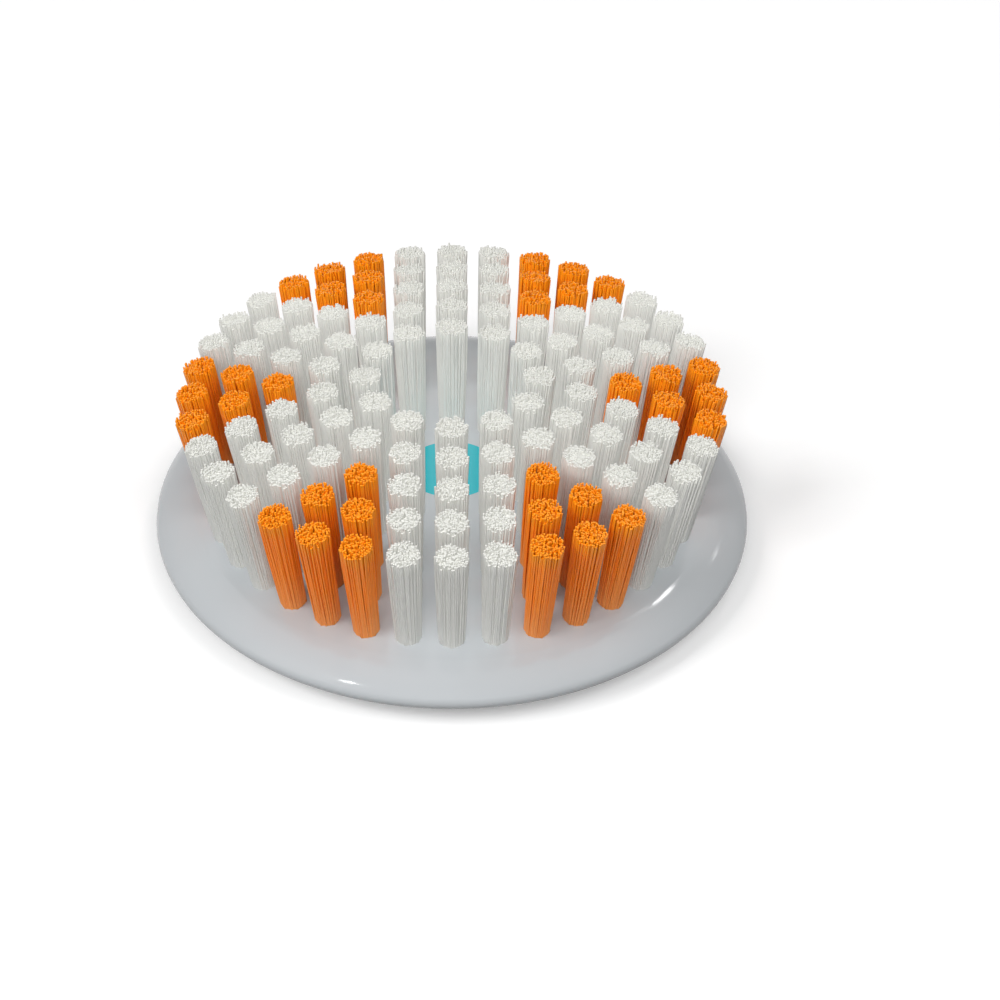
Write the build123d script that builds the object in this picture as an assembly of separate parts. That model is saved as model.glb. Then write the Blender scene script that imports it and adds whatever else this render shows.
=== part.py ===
from build123d import *
import math
import os

# A facial cleansing brush head. A crowned plate, moulded in one piece with its drive hub, is drilled
# square to its face and filled with tufts of nylon filament, each held down by a flat wire anchor.
# Millimetres and degrees. +Z is the spin axis, z = 0 is the end of the hub, and -Y is the front.

# Plate
PLATE_DIAMETER = 56.0  # over the rim
CROWN_RADIUS = 123.0  # curvature of the tufted face, which is a shallow paraboloid
SHOULDER_RADIUS = 7.0  # round between the crown and the edge
SHOULDER_ANGLE = 42.0  # slope at which the shoulder runs into the edge
SHOULDER_FLATS = 3  # narrow turned flats that make up the shoulder
EDGE_RADIUS = 0.8  # small round along the edge
EDGE_UNDERCUT = 55.0  # angle by which the edge turns under
EDGE_FLATS = 4  # narrow turned flats that make up the edge
EDGE_HEIGHT = 2.2  # from the flat land under the plate up to the middle of the edge
UNDERSIDE_HEIGHT = 0.5  # from the end of the hub up to that land

# Tuft holes
HOLE_DIAMETER = 2.5  # over the corners
HOLE_SIDES = 6  # holes and tufts are drawn six-sided, which keeps so many of them light
HOLE_DEPTH = 3.2
HOLE_FLOOR = 1.4  # plastic left under a hole
HOLE_WEB = 1.174  # plastic left between the holes of neighbouring rings
BARE_BAND = 5.9  # least distance from the outermost hole centres to the edge of the plate
INNER_RING = 2  # first ring with tufts, so that the middle of the plate stays clear
SECTORS = 6  # ring n holds n tufts in each sector

# Tufts and anchors
TUFT_LENGTH = 10.9  # above the plate
TIP_GAP = 0.48  # air between the tips of neighbouring rings
TUFT_CLEARANCE = 0.02  # between a tuft and the wall of its hole
SPOKE_SIDE = 1  # white tufts on each side of the middle of a spoke
ANCHOR_HEIGHT = 1.2
ANCHOR_THICKNESS = 0.3

# Hub and drive socket
HUB_DIAMETER = 18.0
HUB_WALL = 1.8
HUB_CHAMFER = 0.5
HUB_WEBS = 6
HUB_WEB_THICKNESS = 1.4
SOCKET_DIAMETER = 6.0
SOCKET_DEPTH = 5.0
SOCKET_WALL = 2.0
SOCKET_CHAMFER = 0.4
KEYWAYS = 3
KEYWAY_WIDTH = 1.2
KEYWAY_DEPTH = 1.0  # past the wall of the socket

# Ribs under the plate, one in line with each web of the hub
RIB_THICKNESS = 1.2
RIB_STEP = 0.9  # from the end of the hub up to the root of a rib
RIB_RUN_OUT = 1.5  # past the edge of the coned underside

# Derived sizes of the plate
plate_radius = PLATE_DIAMETER / 2
plate_wall = HOLE_DEPTH + HOLE_FLOOR
undercut = math.radians(EDGE_UNDERCUT)
handover = math.radians(90 - SHOULDER_ANGLE)
edge_centre = Vector(plate_radius - EDGE_RADIUS, UNDERSIDE_HEIGHT + EDGE_HEIGHT)
shoulder_inset = Vector(math.cos(handover), math.sin(handover)) * (SHOULDER_RADIUS - EDGE_RADIUS)
shoulder_centre = edge_centre - shoulder_inset

# Derived sizes of the tufts
ring_pitch = HOLE_DIAMETER + HOLE_WEB
outer_ring = math.floor((plate_radius - BARE_BAND) / ring_pitch)
tip_pitch = ring_pitch * (1 + TUFT_LENGTH / CROWN_RADIUS)
tip_radius = (tip_pitch - TIP_GAP) / 2
mouth_radius = HOLE_DIAMETER / 2 - TUFT_CLEARANCE
root_depth = HOLE_DEPTH - ANCHOR_HEIGHT
root_radius = mouth_radius - (tip_radius - mouth_radius) * root_depth / TUFT_LENGTH
anchor_width = HOLE_DIAMETER * math.cos(math.pi / HOLE_SIDES)

# Derived sizes of the hub
hub_radius = HUB_DIAMETER / 2
socket_radius = SOCKET_DIAMETER / 2
core_inner = socket_radius + SOCKET_WALL
core_outer = hub_radius - HUB_WALL


def crown_slope(radius):
    """Slope of the crown at a radius from the axis, in degrees."""
    return math.degrees(math.atan(radius / CROWN_RADIUS))


def shoulder_start(rounds=6):
    """Point where the shoulder takes over from the crown, found by rounds that settle on one slope."""
    radius = shoulder_centre.X
    for _ in range(rounds):
        slope = math.radians(crown_slope(radius))
        radius = shoulder_centre.X + SHOULDER_RADIUS * math.sin(slope)
    return Vector(radius, shoulder_centre.Y + SHOULDER_RADIUS * math.cos(slope))


crown_edge = shoulder_start()
crown_top = crown_edge.Y + crown_edge.X**2 / (2 * CROWN_RADIUS)
dish_radius = math.sqrt(2 * CROWN_RADIUS * (crown_top - plate_wall - UNDERSIDE_HEIGHT))


def crown_height(radius, depth=0.0):
    """Height of the crown at a radius from the axis, or of the surface a depth below it."""
    return crown_top - depth - radius**2 / (2 * CROWN_RADIUS)


def crown_block():
    """Everything below the crown, whose paraboloid is one square patch wider than the plate."""
    reach = plate_radius + EDGE_RADIUS
    drop = crown_top - crown_height(reach)
    edges = ((-reach, -drop), (0, drop), (reach, -drop))
    patch = [[(x, y, crown_top + x_drop + y_drop) for y, y_drop in edges] for x, x_drop in edges]
    return Solid.extrude(Face.make_bezier_surface(patch), (0, 0, -crown_top))


def round_points(centre, radius, first, last, flats):
    """Points of a round with this many flats, between two angles above the horizontal."""
    points = []
    for step in range(flats + 1):
        angle = first + (last - first) * step / flats
        points.append(centre + Vector(math.cos(angle), math.sin(angle)) * radius)
    return points


def crowned_disc():
    """The plate without holes: turned edge, land and coned underside, cut off along the crown."""
    top_angle = math.pi / 2 - math.radians(crown_slope(crown_edge.X))
    shoulder = round_points(shoulder_centre, SHOULDER_RADIUS, top_angle, handover, SHOULDER_FLATS)
    edge = round_points(edge_centre, EDGE_RADIUS, handover, -undercut, EDGE_FLATS)
    above_crown = shoulder[0] + (shoulder[0] - shoulder[1]) * SHOULDER_FLATS
    top = crown_top + EDGE_HEIGHT
    land_radius = edge[-1].X - (edge[-1].Y - UNDERSIDE_HEIGHT) * math.tan(undercut)
    dish_height = crown_height(hub_radius, plate_wall)
    outline = Polyline(
        (0, top),
        (above_crown.X, top),
        above_crown,
        *shoulder[1:],
        *edge[1:],
        (land_radius, UNDERSIDE_HEIGHT),
        (dish_radius, UNDERSIDE_HEIGHT),
        (hub_radius, dish_height),
        (0, dish_height),
        close=True,
    )
    return revolve(Plane.XZ * make_face(outline), Axis.Z) & crown_block()


def hub():
    """Drive hub: a sleeve round the wall of the socket, joined by webs, with open cores between."""
    top = crown_height(hub_radius, plate_wall / 2)
    body = extrude(Circle(hub_radius), top)
    body = chamfer(body.edges().group_by(Axis.Z)[0], HUB_CHAMFER)
    webs = PolarLocations((core_inner + core_outer) / 2, HUB_WEBS)
    web = Rectangle(2 * (core_outer - core_inner), HUB_WEB_THICKNESS)
    cores = Circle(core_outer) - Circle(core_inner) - [place * web for place in webs]
    return body - extrude(cores, crown_height(core_outer, plate_wall))


def drive_socket():
    """Space of the drive socket: a round bore with a lead-in and keyways cut outwards from it."""
    reach = socket_radius + KEYWAY_DEPTH
    keyway = Rectangle(reach, KEYWAY_WIDTH, align=(Align.MIN, Align.CENTER))
    section = Circle(socket_radius) + [place * keyway for place in PolarLocations(0, KEYWAYS)]
    lead_in = Cone(
        socket_radius + SOCKET_CHAMFER,
        socket_radius,
        SOCKET_CHAMFER,
        align=(Align.CENTER, Align.CENTER, Align.MIN),
    )
    return extrude(section, SOCKET_DEPTH) + lead_in


def ribs():
    """Gusset ribs that run from the hub out to the land behind the rim."""
    root = hub_radius - HUB_WALL / 2
    end = dish_radius + RIB_RUN_OUT
    profile = Polyline(
        (root, RIB_STEP),
        (end, UNDERSIDE_HEIGHT),
        (end, crown_height(end, plate_wall / 2)),
        (root, crown_height(root, plate_wall / 2)),
        close=True,
    )
    rib = extrude(Plane.XZ * make_face(profile), RIB_THICKNESS / 2, both=True)
    return [place * rib for place in PolarLocations(0, HUB_WEBS)]


def bundle(low_radius, low, high_radius, high):
    """Many-sided bundle along z between two heights, with radii over its corners and a flat towards +Y."""
    corners = []
    for radius, height in ((low_radius, low), (high_radius, high)):
        for place in PolarLocations(radius, HOLE_SIDES, 90 + 180 / HOLE_SIDES):
            corners.append(place.position + (0, 0, height))
    return ConvexPolyhedron(corners).solid()


def tuft_seats():
    """Ring, place in the ring and seat of each tuft. A seat lies on the crown, with z square to it."""
    seats = []
    for ring in range(INNER_RING, outer_ring + 1):
        radius = ring * ring_pitch
        on_crown = Pos(radius, 0, crown_height(radius)) * Rot(0, crown_slope(radius), 0)
        for place, turn in enumerate(PolarLocations(0, SECTORS * ring, -90)):
            seats.append((ring, place, turn * on_crown))
    return seats


def tuft_node(ring, place):
    """Node that a tuft belongs to: a white spoke near the middle of one, or else an orange wedge."""
    step = place % ring
    if min(step, ring - step) <= SPOKE_SIDE:
        spoke = (2 * place + ring) // (2 * ring) % SECTORS
        return f"white_tufts_{spoke + 1}"
    return f"orange_tufts_{place // ring + 1}"


def brush_plate(seats):
    """The plate with its hub and ribs, drilled for the tufts."""
    hole = bundle(HOLE_DIAMETER / 2, -HOLE_DEPTH, HOLE_DIAMETER / 2, HOLE_DEPTH)
    plate = crowned_disc() + hub() + ribs()
    return plate - drive_socket() - [seat * hole for _, _, seat in seats]


def tufts(seats):
    """All tufts, sorted into their nodes."""
    tuft = bundle(root_radius, -root_depth, tip_radius, TUFT_LENGTH)
    nodes = {}
    for ring, place, seat in seats:
        nodes.setdefault(tuft_node(ring, place), []).append(seat * tuft)
    return nodes


def tuft_anchors(seats):
    """Wire anchors, each on the floor of its hole and as wide as the hole."""
    strip = Box(ANCHOR_THICKNESS, anchor_width, ANCHOR_HEIGHT, align=(Align.CENTER, Align.CENTER, Align.MIN))
    strip = Pos(0, 0, -HOLE_DEPTH) * strip.solid()
    return [seat * strip for _, _, seat in seats]


def main():
    """Build every node and write it to its own file."""
    seats = tuft_seats()
    nodes = {"brush_plate": brush_plate(seats).solids(), "tuft_anchors": tuft_anchors(seats)}
    nodes.update(tufts(seats))
    os.makedirs("parts", exist_ok=True)
    for name, solids in nodes.items():
        export_step(Compound(solids), os.path.join("parts", f"{name}.step"))


main()
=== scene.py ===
import math

import bmesh
import bpy
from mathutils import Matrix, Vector


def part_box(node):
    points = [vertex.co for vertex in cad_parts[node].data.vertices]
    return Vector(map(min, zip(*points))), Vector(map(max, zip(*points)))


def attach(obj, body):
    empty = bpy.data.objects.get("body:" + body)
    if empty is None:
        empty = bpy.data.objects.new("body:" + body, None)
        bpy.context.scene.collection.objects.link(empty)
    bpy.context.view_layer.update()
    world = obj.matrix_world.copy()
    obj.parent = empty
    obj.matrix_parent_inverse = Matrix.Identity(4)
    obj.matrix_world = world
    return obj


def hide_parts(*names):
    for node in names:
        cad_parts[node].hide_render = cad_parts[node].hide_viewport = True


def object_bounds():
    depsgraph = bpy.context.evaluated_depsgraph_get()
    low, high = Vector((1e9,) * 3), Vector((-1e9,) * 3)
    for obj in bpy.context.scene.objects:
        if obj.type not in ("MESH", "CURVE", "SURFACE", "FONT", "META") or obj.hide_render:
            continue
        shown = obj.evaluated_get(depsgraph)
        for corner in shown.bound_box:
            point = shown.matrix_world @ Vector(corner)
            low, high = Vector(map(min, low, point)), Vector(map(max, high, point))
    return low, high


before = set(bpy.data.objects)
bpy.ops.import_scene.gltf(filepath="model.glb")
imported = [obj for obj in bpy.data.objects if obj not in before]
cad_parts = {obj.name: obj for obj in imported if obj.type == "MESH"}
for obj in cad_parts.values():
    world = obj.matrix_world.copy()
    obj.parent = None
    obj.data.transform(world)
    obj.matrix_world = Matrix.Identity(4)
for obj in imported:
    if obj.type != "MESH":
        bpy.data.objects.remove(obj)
cad_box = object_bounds()

bl_info = {
    "name": "Cleansing Brush Head",
    "version": (1, 0, 0),
    "blender": (4, 5, 0),
    "location": "View3D > Sidebar > Brush Head",
    "description": "Dresses a facial cleansing brush head with its filaments, finishes and a plain stage",
    "category": "Object",
}

MM = 0.001  # the scene is in metres
BODY = "root"
PLATE_NODE = "brush_plate"
ANCHOR_NODE = "tuft_anchors"
WHITE_PREFIX = "white_tufts_"
ORANGE_PREFIX = "orange_tufts_"

# Finishes
PLASTIC_IOR = 1.53  # of ABS and of nylon
RIPPLE_LENGTH = 3.5 * MM  # between the waves that moulding leaves in the plate
RIPPLE_HEIGHT = 0.006 * MM
RUB_LENGTH = 6 * MM  # between duller and brighter patches of the plate
DRAW_LENGTH = 0.4 * MM  # between duller and brighter patches of the anchor wire
PRINT_DEPTH = 1 * MM  # the printed spot lies within this depth under the top of the plate
WHITE = (1, 1, 1, 1)

# Sockets of a Mix node and of a Random Value node that go by number, because their names repeat
MIX_SHARE = 0
VECTOR_A, VECTOR_B, VECTOR_MIX = 4, 5, 1
COLOUR_A, COLOUR_B, COLOUR_MIX = 6, 7, 2
LEAST_VECTOR, MOST_VECTOR = 0, 1
LEAST_NUMBER, MOST_NUMBER, NUMBER = 2, 3, 1

# Meshes
RING_STEP = 6  # filaments that each ring of a tuft has more than the ring inside it
TIP_SHARE = 0.99  # of a filament's length, past which its flat end starts
MERGE_DISTANCE = 0.001 * MM
SHARP_ANGLE = math.radians(30)  # least turn between two faces that is meant to show as an edge
CROWN_LEVEL = 0.97  # least upward part of a face's normal on the crown
CROWN_DEPTH = 3 * MM  # the crown ends within this depth under its top
CROWN_ERROR = 0.02 * MM  # most that a corner of the crown lies off its paraboloid

# Stage, with the widths and places of lamps in millimetres
FLOOR_REACH = 2.0  # from the middle of the floor to its edges
FLOOR_GAP = 0.05 * MM  # between the floor and the brush head
SOFT_BOX_WIDTH = 700
KEY_PLACE = (-740, -400, 740)
FRONT_PLACE = (0, -760, 620)
FILL_PLACE = (540, -420, 960)
GLINTS = (  # name, watts, width and place of small lamps that show on the shoulder of the plate
    ("Right glint", 0.11, 44, (198, 242, 390)),
    ("Side glint", 0.012, 20, (316, 275, 273)),
    ("Left glint", 0.07, 32, (-224, -236, 380)),
)
SENSOR_WIDTH = 36.0
NEAREST_SEEN = 10 * MM


def hex_colour(text):
    """Linear colour from an sRGB hex value."""
    channels = [int(text[place : place + 2], 16) / 255 for place in (1, 3, 5)]
    linear = [c / 12.92 if c <= 0.04045 else ((c + 0.055) / 1.055) ** 2.4 for c in channels]
    return (*linear, 1.0)


def colour_setting(name, description, colour):
    """Colour that a user can change, from an sRGB hex value."""
    return bpy.props.FloatVectorProperty(
        name=name, description=description, default=hex_colour(colour), size=4, subtype="COLOR"
    )


def length_setting(name, description, millimetres):
    """Length that a user can change."""
    return bpy.props.FloatProperty(
        name=name, description=description, default=millimetres * MM, unit="LENGTH"
    )


def add_node(tree, kind, inputs=None, **settings):
    """Add a node with its settings. An input is a value to set or another node's output to link."""
    node = tree.nodes.new(kind)
    for name, value in settings.items():
        setattr(node, name, value)
    for key, value in (inputs or {}).items():
        if isinstance(value, bpy.types.NodeSocket):
            tree.links.new(value, node.inputs[key])
        else:
            node.inputs[key].default_value = value
    return node


class FilamentSettings(bpy.types.PropertyGroup):
    """Shape of the filaments in a tuft."""

    rings: bpy.props.IntProperty(
        name="Rings",
        description="Rings of filaments round the middle one of each tuft",
        default=8,
        min=1,
    )
    thickness: length_setting(
        "Thickness", "Thickness of a filament, coarser than real nylon so that single filaments show", 0.21
    )
    sides: bpy.props.IntProperty(name="Sides", description="Sides of a filament", default=4, min=3)
    segments: bpy.props.IntProperty(
        name="Segments", description="Straight pieces along a filament", default=3, min=1
    )
    foot_fill: bpy.props.FloatProperty(
        name="Foot Fill",
        description="Radius of the filaments at the foot, as a share of the solid tuft's corner radius",
        default=1.0,
        subtype="FACTOR",
    )
    tip_fill: bpy.props.FloatProperty(
        name="Tip Fill",
        description="Radius of the filaments at the tip, as a share of the solid tuft's corner radius",
        default=0.84,
        subtype="FACTOR",
    )
    uneven: length_setting("Uneven Tips", "Most that a filament ends above or below the tuft's tip", 0.25)
    splay: length_setting("Splay", "Most that a filament's tip strays sideways", 0.1)
    sway: length_setting("Sway", "Most that the middle of a filament bows sideways", 0.07)
    seed: bpy.props.IntProperty(name="Seed", description="Seed of all that is uneven", default=7)


class FinishSettings(bpy.types.PropertyGroup):
    """Colours of the brush head and the stage."""

    plate: colour_setting("Plate", "Moulded plate", "#AEB2B5")
    spot: colour_setting("Printed Spot", "Spot printed in the middle of the plate", "#23A5B0")
    spot_radius: length_setting("Spot Radius", "Radius of the printed spot", 4.3)
    # White Side and White Tip differ partly as painted light: painted shade on the sides and a painted
    # highlight on the ends.
    white_side: colour_setting("White Side", "Side of an undyed filament", "#D4D4D0")
    white_tip: colour_setting("White Tip", "Ground end of an undyed filament", "#E0E0DB")
    orange_foot: colour_setting("Orange Foot", "Dyed filament where it leaves the plate", "#F09A50")
    orange_side: colour_setting("Orange Side", "Side of a dyed filament", "#FF8C18")
    # Orange Tip is brighter than Orange Side partly because of the ground ends and partly as a painted
    # highlight.
    orange_tip: colour_setting("Orange Tip", "Ground end of a dyed filament", "#FF9E16")
    anchor: colour_setting("Anchor", "Wire anchors in the holes", "#C9A75E")
    floor: colour_setting("Floor", "Floor as it is seen", "#EEEEEE")
    floor_bounce: colour_setting(
        "Floor Bounce", "Floor as it throws light back on the brush head", "#404040"
    )


class StageSettings(bpy.types.PropertyGroup):
    """Camera, lamps and floor."""

    elevation: bpy.props.FloatProperty(
        name="Elevation",
        description="Angle of the camera above the horizon",
        default=math.radians(38.234),
        subtype="ANGLE",
    )
    distance: length_setting("Distance", "From the camera to the point that it aims at", 258.5)
    aim_depth: length_setting(
        "Aim Depth", "Depth under the top of the plate, on the spin axis, that the camera aims at", 4.954
    )
    focal_length: bpy.props.FloatProperty(
        name="Focal Length", description="Focal length in millimetres", default=97.74
    )
    shift_x: bpy.props.FloatProperty(
        name="Shift X", description="Sideways shift of the frame", default=0.04815
    )
    shift_y: bpy.props.FloatProperty(
        name="Shift Y", description="Upward shift of the frame", default=0.00963
    )
    world_light: bpy.props.FloatProperty(
        name="World Light", description="Strength of the light from all round", default=0.18
    )
    key_light: bpy.props.FloatProperty(
        name="Key Light", description="Power of the soft box on the left", default=7.0, unit="POWER"
    )
    front_light: bpy.props.FloatProperty(
        name="Front Light", description="Power of the soft box by the camera", default=5.2, unit="POWER"
    )
    fill_light: bpy.props.FloatProperty(
        name="Fill Light", description="Power of the soft box on the right", default=3.4, unit="POWER"
    )
    floor_glow: bpy.props.FloatProperty(
        name="Floor Glow",
        description="Share of the floor's white that no shadow darkens",
        default=0.19,
        subtype="FACTOR",
    )


def new_finish(name):
    """A new material, with its node tree and its shader."""
    material = bpy.data.materials.new(name)
    material.use_nodes = True
    tree = material.node_tree
    return material, tree, tree.nodes["Principled BSDF"]


def moulded_abs(finish):
    """White ABS, moulded against polished steel."""
    # Clean, hard and glossy: a lamp shows as a sharp glint, which the faint ripple of the moulding and
    # light rubbing break up a little.
    material, tree, shader = new_finish("Moulded white ABS")
    shader.inputs["IOR"].default_value = PLASTIC_IOR
    place = add_node(tree, "ShaderNodeTexCoord").outputs["Object"]
    ripple = add_node(
        tree, "ShaderNodeTexNoise", {"Vector": place, "Scale": 1 / RIPPLE_LENGTH, "Detail": 1.0}
    )
    bump = add_node(tree, "ShaderNodeBump", {"Height": ripple.outputs[0], "Distance": RIPPLE_HEIGHT})
    tree.links.new(bump.outputs[0], shader.inputs["Normal"])
    rubbing = add_node(
        tree, "ShaderNodeTexNoise", {"Vector": place, "Scale": 1 / RUB_LENGTH, "Detail": 3.0}
    )
    rubbed = add_node(
        tree,
        "ShaderNodeMapRange",
        {"Value": rubbing.outputs[0], "From Min": 0.35, "From Max": 0.65, "To Min": 0.09, "To Max": 0.15},
    )
    tree.links.new(rubbed.outputs[0], shader.inputs["Roughness"])

    # The printed spot: near the spin axis, and on the upper side alone
    flat = add_node(tree, "ShaderNodeVectorMath", {0: place, 1: (1, 1, 0)}, operation="MULTIPLY")
    radius = add_node(tree, "ShaderNodeVectorMath", {0: flat.outputs[0]}, operation="LENGTH")
    height = add_node(tree, "ShaderNodeSeparateXYZ", {0: place}).outputs["Z"]
    inside = add_node(
        tree, "ShaderNodeMath", {0: radius.outputs["Value"], 1: finish.spot_radius}, operation="LESS_THAN"
    )
    printed_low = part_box(PLATE_NODE)[1].z - PRINT_DEPTH
    on_top = add_node(tree, "ShaderNodeMath", {0: height, 1: printed_low}, operation="GREATER_THAN")
    printed = add_node(
        tree, "ShaderNodeMath", {0: inside.outputs[0], 1: on_top.outputs[0]}, operation="MULTIPLY"
    )
    colour = add_node(
        tree,
        "ShaderNodeMix",
        {MIX_SHARE: printed.outputs[0], COLOUR_A: finish.plate, COLOUR_B: finish.spot},
        data_type="RGBA",
    )
    tree.links.new(colour.outputs[COLOUR_MIX], shader.inputs["Base Color"])
    return material


def clear_nylon(finish):
    """Undyed nylon filament, drawn and cut, with its ends ground round."""
    # Milky along its sides, and whiter on the ground ends, which scatter more light. Part of that step from
    # side to end is painted light: painted shade along the sides and a painted highlight on the ends, where
    # the light falls from above.
    material, tree, shader = new_finish("Undyed nylon filament")
    shader.inputs["Roughness"].default_value = 0.3
    shader.inputs["IOR"].default_value = PLASTIC_IOR
    along = add_node(tree, "ShaderNodeAttribute", attribute_name="along").outputs["Fac"]
    tip = add_node(tree, "ShaderNodeMapRange", {"Value": along, "From Min": 0.9, "From Max": 1.0})
    colour = add_node(
        tree,
        "ShaderNodeMix",
        {MIX_SHARE: tip.outputs[0], COLOUR_A: finish.white_side, COLOUR_B: finish.white_tip},
        data_type="RGBA",
    )
    tree.links.new(colour.outputs[COLOUR_MIX], shader.inputs["Base Color"])
    return material


def dyed_nylon(finish):
    """Orange nylon filament, dyed in the melt, with its ends ground round."""
    # Dense orange that is brightest on the ground ends and paler by the plate, and a little uneven between
    # filaments. The brighter ends are partly the ground ends and partly a painted highlight, where the light
    # falls on them from above.
    material, tree, shader = new_finish("Orange nylon filament")
    shader.inputs["Roughness"].default_value = 0.38
    shader.inputs["IOR"].default_value = PLASTIC_IOR
    along = add_node(tree, "ShaderNodeAttribute", attribute_name="along").outputs["Fac"]
    tone = add_node(tree, "ShaderNodeAttribute", attribute_name="tone").outputs["Fac"]
    foot = add_node(tree, "ShaderNodeMapRange", {"Value": along, "From Min": 0.1, "From Max": 0.55})
    tip = add_node(tree, "ShaderNodeMapRange", {"Value": along, "From Min": 0.86, "From Max": 1.0})
    side = add_node(
        tree,
        "ShaderNodeMix",
        {MIX_SHARE: foot.outputs[0], COLOUR_A: finish.orange_foot, COLOUR_B: finish.orange_side},
        data_type="RGBA",
    )
    colour = add_node(
        tree,
        "ShaderNodeMix",
        {MIX_SHARE: tip.outputs[0], COLOUR_A: side.outputs[COLOUR_MIX], COLOUR_B: finish.orange_tip},
        data_type="RGBA",
    )
    shade = add_node(tree, "ShaderNodeMapRange", {"Value": tone, "To Min": 0.92, "To Max": 1.0})
    toned = add_node(
        tree,
        "ShaderNodeVectorMath",
        {0: colour.outputs[COLOUR_MIX], 1: shade.outputs[0]},
        operation="MULTIPLY",
    )
    tree.links.new(toned.outputs[0], shader.inputs["Base Color"])
    return material


def brass_wire(finish):
    """Flat brass wire, drawn and cut to length."""
    # Yellow metal with a drawn, half-bright surface, duller where the die left it rough.
    material, tree, shader = new_finish("Drawn brass wire")
    shader.inputs["Base Color"].default_value = finish.anchor
    shader.inputs["Metallic"].default_value = 1.0
    place = add_node(tree, "ShaderNodeTexCoord").outputs["Object"]
    drawn = add_node(
        tree, "ShaderNodeTexNoise", {"Vector": place, "Scale": 1 / DRAW_LENGTH, "Detail": 2.0}
    )
    dull = add_node(
        tree,
        "ShaderNodeMapRange",
        {"Value": drawn.outputs[0], "From Min": 0.3, "From Max": 0.7, "To Min": 0.28, "To Max": 0.45},
    )
    tree.links.new(dull.outputs[0], shader.inputs["Roughness"])
    return material


def seen_rays(tree):
    """One where a surface is seen, straight, mirrored or through glass, and zero where it gives light."""
    rays = add_node(tree, "ShaderNodeLightPath")
    seen = rays.outputs["Is Camera Ray"]
    for kind in ("Is Glossy Ray", "Is Transmission Ray"):
        either = add_node(tree, "ShaderNodeMath", {0: seen, 1: rays.outputs[kind]}, operation="MAXIMUM")
        seen = either.outputs[0]
    return seen


def pale_floor(finish, glow):
    """Matt white sheet for the floor."""
    # An even pale sheet with no edge, on which the shadow stays soft and light.
    material, tree, shader = new_finish("Matt white sheet")
    tree.nodes.remove(shader)
    seen = seen_rays(tree)
    strength = add_node(tree, "ShaderNodeMath", {0: seen, 1: glow}, operation="MULTIPLY")
    colour = add_node(
        tree,
        "ShaderNodeMix",
        {MIX_SHARE: seen, COLOUR_A: finish.floor_bounce, COLOUR_B: finish.floor},
        data_type="RGBA",
    )
    sheet = add_node(tree, "ShaderNodeBsdfDiffuse", {"Color": colour.outputs[COLOUR_MIX]})
    light = add_node(tree, "ShaderNodeEmission", {"Color": WHITE, "Strength": strength.outputs[0]})
    both = add_node(tree, "ShaderNodeAddShader", {0: sheet.outputs[0], 1: light.outputs[0]})
    tree.links.new(both.outputs[0], tree.nodes["Material Output"].inputs["Surface"])
    return material


def white_studio(light):
    """World that lights the brush head evenly from all round and looks white."""
    world = bpy.data.worlds.new("White studio")
    world.use_nodes = True
    tree = world.node_tree
    strength = add_node(
        tree, "ShaderNodeMapRange", {"Value": seen_rays(tree), "To Min": light, "To Max": 1.0}
    )
    background = tree.nodes["Background"]
    background.inputs["Color"].default_value = WHITE
    tree.links.new(strength.outputs[0], background.inputs["Strength"])
    return world


def filament_feet(tree, given, rings):
    """Points for the feet of all filaments, each of which knows the root and the axis of its tuft."""
    # One point in the middle of a tuft and rings of points round it, out to a radius of one
    middle = add_node(tree, "GeometryNodeMeshLine", {"Count": 1})
    section = add_node(tree, "GeometryNodeJoinGeometry", {0: middle.outputs[0]})
    for ring in range(1, rings + 1):
        circle = add_node(
            tree, "GeometryNodeMeshCircle", {"Vertices": RING_STEP * ring, "Radius": ring / rings}
        )
        tree.links.new(circle.outputs[0], section.inputs[0])

    # That section on the root of every tuft, square to the tuft's axis
    position = add_node(tree, "GeometryNodeInputPosition")
    rooted = add_node(
        tree,
        "GeometryNodeStoreNamedAttribute",
        {"Geometry": given["Tufts"], "Name": "root", "Value": position.outputs[0]},
        data_type="FLOAT_VECTOR",
    )
    axis = add_node(tree, "GeometryNodeInputNamedAttribute", {"Name": "axis"}, data_type="FLOAT_VECTOR")
    upright = add_node(
        tree, "FunctionNodeAlignRotationToVector", {"Vector": axis.outputs[0]}, axis="Z"
    )
    placed = add_node(
        tree,
        "GeometryNodeInstanceOnPoints",
        {
            "Points": rooted.outputs[0],
            "Instance": section.outputs[0],
            "Rotation": upright.outputs[0],
            "Scale": given["Foot Radius"],
        },
    )
    placed = add_node(tree, "GeometryNodeRealizeInstances", {0: placed.outputs[0]})
    return add_node(tree, "GeometryNodeMeshToPoints", {"Mesh": placed.outputs[0]}).outputs[0]


def random_offset(tree, seed, reach):
    """A random step to any side, of up to this reach along each axis."""
    step = add_node(
        tree,
        "FunctionNodeRandomValue",
        {LEAST_VECTOR: (-1, -1, -1), MOST_VECTOR: (1, 1, 1), "Seed": seed},
        data_type="FLOAT_VECTOR",
    )
    return add_node(
        tree, "ShaderNodeVectorMath", {0: step.outputs[0], "Scale": reach}, operation="SCALE"
    ).outputs[0]


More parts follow.
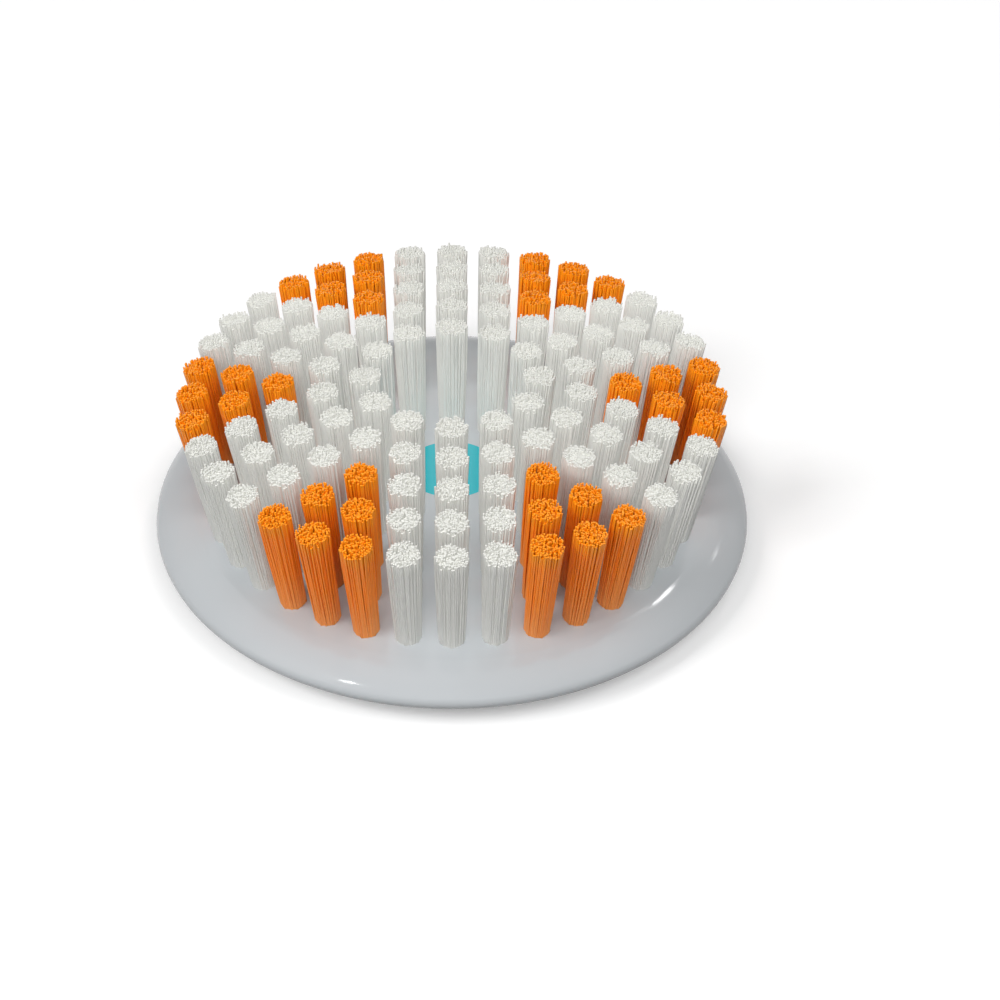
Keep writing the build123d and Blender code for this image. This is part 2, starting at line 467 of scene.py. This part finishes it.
def filament_ends(tree, given, feet):
    """The feet, with the two ends, the bow and the tone of each filament noted on them."""
    # A seed of its own for each draw
    seeds = [given["Seed"]]
    for step in (1.0, 2.0, 3.0):
        seed = add_node(tree, "ShaderNodeMath", {0: given["Seed"], 1: step}, operation="ADD")
        seeds.append(seed.outputs[0])
    longer_seed, stray_seed, bow_seed, tone_seed = seeds

    # The tip: along the axis, flared out from it, and a little uneven
    position = add_node(tree, "GeometryNodeInputPosition").outputs[0]
    axis, root = (
        add_node(tree, "GeometryNodeInputNamedAttribute", {"Name": name}, data_type="FLOAT_VECTOR").outputs[0]
        for name in ("axis", "root")
    )
    offset = add_node(tree, "ShaderNodeVectorMath", {0: position, 1: root}, operation="SUBTRACT")
    flared = add_node(
        tree, "ShaderNodeVectorMath", {0: offset.outputs[0], "Scale": given["Flare"]}, operation="SCALE"
    )
    way = add_node(tree, "ShaderNodeVectorMath", {0: axis}, operation="NORMALIZE")
    either = add_node(
        tree,
        "FunctionNodeRandomValue",
        {LEAST_NUMBER: -1.0, MOST_NUMBER: 1.0, "Seed": longer_seed},
        data_type="FLOAT",
    )
    extra = add_node(
        tree, "ShaderNodeMath", {0: either.outputs[NUMBER], 1: given["Uneven"]}, operation="MULTIPLY"
    )
    longer = add_node(
        tree, "ShaderNodeVectorMath", {0: way.outputs[0], "Scale": extra.outputs[0]}, operation="SCALE"
    )
    strayed, bowed = (
        random_offset(tree, seed, given[reach]) for seed, reach in ((stray_seed, "Splay"), (bow_seed, "Sway"))
    )
    tip = root
    for part in (axis, flared.outputs[0], longer.outputs[0], strayed):
        tip = add_node(tree, "ShaderNodeVectorMath", {0: tip, 1: part}, operation="ADD").outputs[0]
    tone = add_node(tree, "FunctionNodeRandomValue", {"Seed": tone_seed}, data_type="FLOAT")
    for name, value, kind in (
        ("foot", position, "FLOAT_VECTOR"),
        ("tip", tip, "FLOAT_VECTOR"),
        ("bow", bowed, "FLOAT_VECTOR"),
        ("tone", tone.outputs[NUMBER], "FLOAT"),
    ):
        feet = add_node(
            tree,
            "GeometryNodeStoreNamedAttribute",
            {"Geometry": feet, "Name": name, "Value": value},
            data_type=kind,
        ).outputs[0]
    return feet


def filament_lines(tree, given, feet):
    """A line on every foot, bent from its foot to its tip."""
    line = add_node(tree, "GeometryNodeCurvePrimitiveLine")
    line = add_node(
        tree, "GeometryNodeResampleCurve", {"Curve": line.outputs[0], "Count": given["Points Along"]}
    )
    lines = add_node(
        tree, "GeometryNodeInstanceOnPoints", {"Points": feet, "Instance": line.outputs[0]}
    )
    lines = add_node(tree, "GeometryNodeRealizeInstances", {0: lines.outputs[0]})
    along = add_node(tree, "GeometryNodeSplineParameter").outputs["Factor"]
    foot, tip, bow = (
        add_node(tree, "GeometryNodeInputNamedAttribute", {"Name": name}, data_type="FLOAT_VECTOR").outputs[0]
        for name in ("foot", "tip", "bow")
    )
    straight = add_node(
        tree, "ShaderNodeMix", {MIX_SHARE: along, VECTOR_A: foot, VECTOR_B: tip}, data_type="VECTOR"
    )
    arch = add_node(tree, "ShaderNodeMath", {0: along, 1: math.pi}, operation="MULTIPLY")
    arch = add_node(tree, "ShaderNodeMath", {0: arch.outputs[0]}, operation="SINE")
    arched = add_node(
        tree, "ShaderNodeVectorMath", {0: bow, "Scale": arch.outputs[0]}, operation="SCALE"
    )
    strands = add_node(
        tree,
        "GeometryNodeSetPosition",
        {
            "Geometry": lines.outputs[0],
            "Position": straight.outputs[VECTOR_MIX],
            "Offset": arched.outputs[0],
        },
    )
    return add_node(
        tree,
        "GeometryNodeStoreNamedAttribute",
        {"Geometry": strands.outputs[0], "Name": "along", "Value": along},
        data_type="FLOAT",
    ).outputs[0]


def filament_rods(tree, given, lines):
    """A thin rod along each line, smooth round its side and with a flat end."""
    half = add_node(tree, "ShaderNodeMath", {0: given["Thickness"], 1: 2.0}, operation="DIVIDE")
    profile = add_node(
        tree,
        "GeometryNodeCurvePrimitiveCircle",
        {"Resolution": given["Sides"], "Radius": half.outputs[0]},
    )
    rods = add_node(
        tree,
        "GeometryNodeCurveToMesh",
        {"Curve": lines, "Profile Curve": profile.outputs[0], "Fill Caps": True},
    )
    along = add_node(tree, "GeometryNodeInputNamedAttribute", {"Name": "along"}, data_type="FLOAT")
    on_side = add_node(
        tree, "ShaderNodeMath", {0: along.outputs[0], 1: TIP_SHARE}, operation="LESS_THAN"
    )
    rods = add_node(
        tree,
        "GeometryNodeSetShadeSmooth",
        {"Geometry": rods.outputs[0], "Shade Smooth": on_side.outputs[0]},
    )
    geometry = rods.outputs[0]
    for name in ("axis", "root", "foot", "tip", "bow"):
        geometry = add_node(
            tree, "GeometryNodeRemoveAttribute", {"Geometry": geometry, "Name": name}
        ).outputs[0]
    return geometry


def filament_tree(rings):
    """Node tree that turns one point for each tuft into that tuft's filaments."""
    tree = bpy.data.node_groups.new("Tuft filaments", "GeometryNodeTree")
    tree.interface.new_socket("Geometry", in_out="OUTPUT", socket_type="NodeSocketGeometry")
    for name, kind in (
        ("Tufts", "NodeSocketGeometry"),
        ("Foot Radius", "NodeSocketFloat"),
        ("Flare", "NodeSocketFloat"),
        ("Thickness", "NodeSocketFloat"),
        ("Sides", "NodeSocketInt"),
        ("Points Along", "NodeSocketInt"),
        ("Uneven", "NodeSocketFloat"),
        ("Splay", "NodeSocketFloat"),
        ("Sway", "NodeSocketFloat"),
        ("Seed", "NodeSocketInt"),
        ("Material", "NodeSocketMaterial"),
    ):
        tree.interface.new_socket(name, in_out="INPUT", socket_type=kind)
    given = add_node(tree, "NodeGroupInput").outputs
    feet = filament_feet(tree, given, rings)
    feet = filament_ends(tree, given, feet)
    lines = filament_lines(tree, given, feet)
    rods = filament_rods(tree, given, lines)
    whole = add_node(tree, "GeometryNodeRealizeInstances", {0: rods})
    dressed = add_node(
        tree,
        "GeometryNodeSetMaterial",
        {"Geometry": whole.outputs[0], "Material": given["Material"]},
    )
    add_node(tree, "NodeGroupOutput", {0: dressed.outputs[0]})
    return tree


def merged_copy(node):
    """A mesh that copies a CAD node's triangles, and a cage that joins them along their edges."""
    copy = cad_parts[node].data.copy()
    cage = bmesh.new()
    cage.from_mesh(copy)
    bmesh.ops.remove_doubles(cage, verts=cage.verts, dist=MERGE_DISTANCE)
    return copy, cage


def solid_tufts(node):
    """Root centre, axis, root radius and tip radius of every solid tuft in a CAD node."""
    copy, cage = merged_copy(node)
    found = []
    taken = set()
    for first in cage.verts:
        if first in taken:
            continue
        island = [first]
        taken.add(first)
        for vertex in island:
            for edge in vertex.link_edges:
                other = edge.other_vert(vertex)
                if other not in taken:
                    taken.add(other)
                    island.append(other)
        corners = sorted((vertex.co.copy() for vertex in island), key=lambda corner: corner.z)
        half = len(corners) // 2
        root = sum(corners[:half], Vector()) / half
        tip = sum(corners[half:], Vector()) / half
        found.append((root, tip - root, (corners[0] - root).length, (corners[-1] - tip).length))
    cage.free()
    bpy.data.meshes.remove(copy)
    # Rounded, because tufts that mirror each other share a place along x but for its last digit
    return sorted(found, key=lambda tuft: [round(place / MERGE_DISTANCE) for place in tuft[0]])


def smooth_crown(mesh):
    """Give the crown the normals of a true paraboloid, so that no triangle shows in its gloss."""
    top = max(vertex.co.z for vertex in mesh.vertices)
    faces = [
        face
        for face in mesh.polygons
        if face.normal.z > CROWN_LEVEL and face.center.z > top - CROWN_DEPTH
    ]
    corners = [corner for face in faces for corner in face.loop_indices]
    points = {corner: mesh.vertices[mesh.loops[corner].vertex_index].co for corner in corners}
    edge = max(points.values(), key=lambda point: point.xy.length)
    steepness = 2 * (top - edge.z) / edge.xy.length_squared
    normals = [corner.vector.copy() for corner in mesh.corner_normals]
    for corner, point in points.items():
        if abs(top - steepness / 2 * point.xy.length_squared - point.z) < CROWN_ERROR:
            normals[corner] = Vector((steepness * point.x, steepness * point.y, 1)).normalized()
    mesh.normals_split_custom_set(normals)


def finish_piece(piece, node):
    """Put a finished piece in the scene in place of a CAD node."""
    bpy.context.scene.collection.objects.link(piece)
    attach(piece, BODY)
    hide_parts(node)


def grown_filaments(context, node, tree, material):
    """Mesh of the filaments that the tree grows on the tufts of a CAD node."""
    filaments = context.scene.brush_filaments
    tufts = solid_tufts(node)
    root_radius, tip_radius = tufts[0][2:]
    rod_radius = filaments.thickness / 2
    foot = root_radius * filaments.foot_fill - rod_radius
    tip = tip_radius * filaments.tip_fill - rod_radius
    points = bpy.data.meshes.new(f"{node} points")
    points.from_pydata([root for root, _, _, _ in tufts], [], [])
    axes = points.attributes.new("axis", "FLOAT_VECTOR", "POINT")
    for place, (_, axis, _, _) in enumerate(tufts):
        axes.data[place].vector = axis
    grower = bpy.data.objects.new(f"{node} points", points)
    context.scene.collection.objects.link(grower)
    modifier = grower.modifiers.new("Filaments", "NODES")
    modifier.node_group = tree
    sockets = {item.name: item.identifier for item in tree.interface.items_tree if item.in_out == "INPUT"}
    for name, value in (
        ("Foot Radius", foot),
        ("Flare", tip / foot),
        ("Thickness", filaments.thickness),
        ("Sides", filaments.sides),
        ("Points Along", filaments.segments + 1),
        ("Uneven", filaments.uneven),
        ("Splay", filaments.splay),
        ("Sway", filaments.sway),
        ("Seed", filaments.seed),
        ("Material", material),
    ):
        modifier[sockets[name]] = value
    grown = grower.evaluated_get(context.evaluated_depsgraph_get())
    mesh = bpy.data.meshes.new_from_object(grown)
    bpy.data.objects.remove(grower)
    bpy.data.meshes.remove(points)
    if not mesh.polygons:
        raise RuntimeError(f"no filaments grew for {node}")
    mesh.name = f"{node}_filaments"
    return mesh


def make_tufts(context, prefix, material, lets_light_through=False):
    """Turn every CAD node with this prefix into tufts of filaments."""
    tree = filament_tree(context.scene.brush_filaments.rings)
    nodes = sorted(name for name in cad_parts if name.startswith(prefix))
    if not nodes:
        raise RuntimeError(f"the frame has no node that starts with {prefix}")
    for node in nodes:
        mesh = grown_filaments(context, node, tree, material)
        piece = bpy.data.objects.new(f"{node}_filaments", mesh)
        piece.visible_shadow = not lets_light_through
        finish_piece(piece, node)


def lay_floor(scene):
    """Lay the floor just under the brush head."""
    corners = [
        (x * FLOOR_REACH, y * FLOOR_REACH, 0) for x, y in ((-1, -1), (1, -1), (1, 1), (-1, 1))
    ]
    sheet = bpy.data.meshes.new("floor")
    sheet.from_pydata(corners, [], [(0, 1, 2, 3)])
    sheet.materials.append(pale_floor(scene.brush_finish, scene.brush_stage.floor_glow))
    floor = bpy.data.objects.new("floor", sheet)
    floor.location.z = cad_box[0].z - FLOOR_GAP
    scene.collection.objects.link(floor)


def hang_lamp(scene, name, power, width, place, glints):
    """Hang a round lamp that faces the brush head, with its width and place in millimetres."""
    lamp = bpy.data.lights.new(name, "AREA")
    lamp.energy = power
    lamp.shape = "DISK"
    lamp.size = width * MM
    holder = bpy.data.objects.new(name, lamp)
    holder.location = Vector(place) * MM
    holder.rotation_mode = "QUATERNION"
    holder.rotation_quaternion = holder.location.to_track_quat("Z", "Y")
    holder.visible_glossy = glints
    scene.collection.objects.link(holder)


def aim_camera(scene):
    """Put the camera in front of the brush head and above it."""
    stage = scene.brush_stage
    view = bpy.data.cameras.new("Camera")
    view.lens = stage.focal_length
    view.sensor_width = SENSOR_WIDTH
    view.shift_x = stage.shift_x
    view.shift_y = stage.shift_y
    view.clip_start = NEAREST_SEEN
    camera = bpy.data.objects.new("Camera", view)
    back = Vector((0, -math.cos(stage.elevation), math.sin(stage.elevation)))
    aim = Vector((0, 0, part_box(PLATE_NODE)[1].z - stage.aim_depth))
    camera.location = aim + back * stage.distance
    camera.rotation_mode = "QUATERNION"
    camera.rotation_quaternion = back.to_track_quat("Z", "Y")
    scene.collection.objects.link(camera)
    scene.camera = camera


class BRUSH_OT_plate(bpy.types.Operator):
    """Make the moulded plate, with a smooth crown"""

    bl_idname = "brush_head.plate"
    bl_label = "Brush Plate"

    def execute(self, context):
        mesh, cage = merged_copy(PLATE_NODE)
        cage.to_mesh(mesh)
        cage.free()
        mesh.shade_smooth()
        # Known fault: the marks miss most edges, so the ribs and the hub look rounded from below
        mesh.set_sharp_from_angle(angle=SHARP_ANGLE)
        smooth_crown(mesh)
        mesh.materials.clear()
        mesh.materials.append(moulded_abs(context.scene.brush_finish))
        mesh.name = "moulded_plate"
        finish_piece(bpy.data.objects.new("moulded_plate", mesh), PLATE_NODE)
        return {"FINISHED"}


class BRUSH_OT_anchors(bpy.types.Operator):
    """Give the wire anchors their metal"""

    bl_idname = "brush_head.anchors"
    bl_label = "Tuft Anchors"

    def execute(self, context):
        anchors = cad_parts[ANCHOR_NODE]
        anchors.data.materials.clear()
        anchors.data.materials.append(brass_wire(context.scene.brush_finish))
        return {"FINISHED"}


class BRUSH_OT_white_tufts(bpy.types.Operator):
    """Grow the undyed filaments in the spokes, which let the light of the lamps through"""

    bl_idname = "brush_head.white_tufts"
    bl_label = "White Tufts"

    def execute(self, context):
        material = clear_nylon(context.scene.brush_finish)
        make_tufts(context, WHITE_PREFIX, material, lets_light_through=True)
        return {"FINISHED"}


class BRUSH_OT_orange_tufts(bpy.types.Operator):
    """Grow the orange filaments in the wedges between the spokes"""

    bl_idname = "brush_head.orange_tufts"
    bl_label = "Orange Tufts"

    def execute(self, context):
        make_tufts(context, ORANGE_PREFIX, dyed_nylon(context.scene.brush_finish))
        return {"FINISHED"}


class BRUSH_OT_stage(bpy.types.Operator):
    """Set up the floor, the light and the camera"""

    bl_idname = "brush_head.stage"
    bl_label = "Stage"

    def execute(self, context):
        scene = context.scene
        stage = scene.brush_stage
        scene.view_settings.view_transform = "Standard"
        lay_floor(scene)
        scene.world = white_studio(stage.world_light)

        # Wide soft boxes that light the brush head evenly and leave no glint
        for name, power, place in (
            ("Key", stage.key_light, KEY_PLACE),
            ("Front", stage.front_light, FRONT_PLACE),
            ("Fill", stage.fill_light, FILL_PLACE),
        ):
            hang_lamp(scene, name, power, SOFT_BOX_WIDTH, place, glints=False)
        for name, power, width, place in GLINTS:
            hang_lamp(scene, name, power, width, place, glints=True)
        aim_camera(scene)
        return {"FINISHED"}


class BRUSH_PT_head(bpy.types.Panel):
    """Steps and settings of the brush head"""

    bl_idname = "BRUSH_PT_head"
    bl_label = "Brush Head"
    bl_space_type = "VIEW_3D"
    bl_region_type = "UI"
    bl_category = "Brush Head"

    def draw(self, context):
        scene = context.scene
        column = self.layout.column()
        for step in STEPS:
            column.operator(step.bl_idname)
        for settings in (scene.brush_filaments, scene.brush_finish, scene.brush_stage):
            box = column.box()
            for name in settings.__annotations__:
                box.prop(settings, name)


STEPS = (BRUSH_OT_plate, BRUSH_OT_anchors, BRUSH_OT_white_tufts, BRUSH_OT_orange_tufts, BRUSH_OT_stage)
CLASSES = (FilamentSettings, FinishSettings, StageSettings, *STEPS, BRUSH_PT_head)


def register():
    for kind in CLASSES:
        bpy.utils.register_class(kind)
    bpy.types.Scene.brush_filaments = bpy.props.PointerProperty(type=FilamentSettings)
    bpy.types.Scene.brush_finish = bpy.props.PointerProperty(type=FinishSettings)
    bpy.types.Scene.brush_stage = bpy.props.PointerProperty(type=StageSettings)


def unregister():
    del bpy.types.Scene.brush_stage
    del bpy.types.Scene.brush_finish
    del bpy.types.Scene.brush_filaments
    for kind in reversed(CLASSES):
        bpy.utils.unregister_class(kind)


def main():
    """Register the add-on and run its steps in order."""
    register()
    bpy.ops.brush_head.plate()
    bpy.ops.brush_head.anchors()
    bpy.ops.brush_head.white_tufts()
    bpy.ops.brush_head.orange_tufts()
    bpy.ops.brush_head.stage()


if __name__ == "__main__":
    main()
